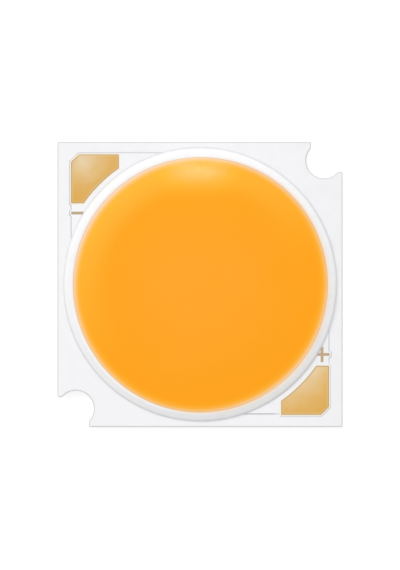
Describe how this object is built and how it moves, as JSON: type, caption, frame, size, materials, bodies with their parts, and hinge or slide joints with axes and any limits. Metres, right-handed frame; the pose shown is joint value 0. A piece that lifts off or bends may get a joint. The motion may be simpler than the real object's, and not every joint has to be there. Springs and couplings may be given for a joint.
{
  "type": "chip-on-board led",
  "caption": "Square white light source: a round orange phosphor field inside a white silicone ring on an aluminium-core board with gold solder pads and open screw notches at opposite corners",
  "frame": {"origin": "middle of the board's back face", "axes": "+Z is the way the light leaves, +X is to the right and +Y is up with the cathode pad at the upper left"},
  "size_m": [0.019, 0.019, 0.0019],
  "materials": {
    "core_aluminium": "rolled, with a punched edge",
    "laminate": "filled epoxy, pale grey",
    "copper": "etched copper foil under the ink",
    "white_ink": "white solder mask, satin",
    "gold_plating": "thin gold over nickel, satin",
    "white_silicone": "white silicone bead, glossy",
    "phosphor_silicone": "phosphor in clear silicone, soft gloss",
    "chip": "sapphire chip with a clear top",
    "gold_wire": "drawn gold wire"
  },
  "bodies": {
    "root": {"base_plate": "core_aluminium", "dielectric_layer": "laminate", "cathode_trace": "copper", "anode_trace": "copper", "solder_mask": "white_ink", "cathode_pad": "gold_plating", "anode_pad": "gold_plating", "minus_mark": "gold_plating", "plus_mark": "gold_plating", "cathode_bond_strip": "gold_plating", "anode_bond_strip": "gold_plating", "dam_ring": "white_silicone", "phosphor_fill": "phosphor_silicone", "chip_string_1": "chip", "chip_string_2": "chip", "chip_string_3": "chip", "chip_string_4": "chip", "chip_string_5": "chip", "chip_string_6": "chip", "bond_wires_1": "gold_wire", "bond_wires_2": "gold_wire", "bond_wires_3": "gold_wire", "bond_wires_4": "gold_wire", "bond_wires_5": "gold_wire", "bond_wires_6": "gold_wire"}
  },
  "joints": []
}
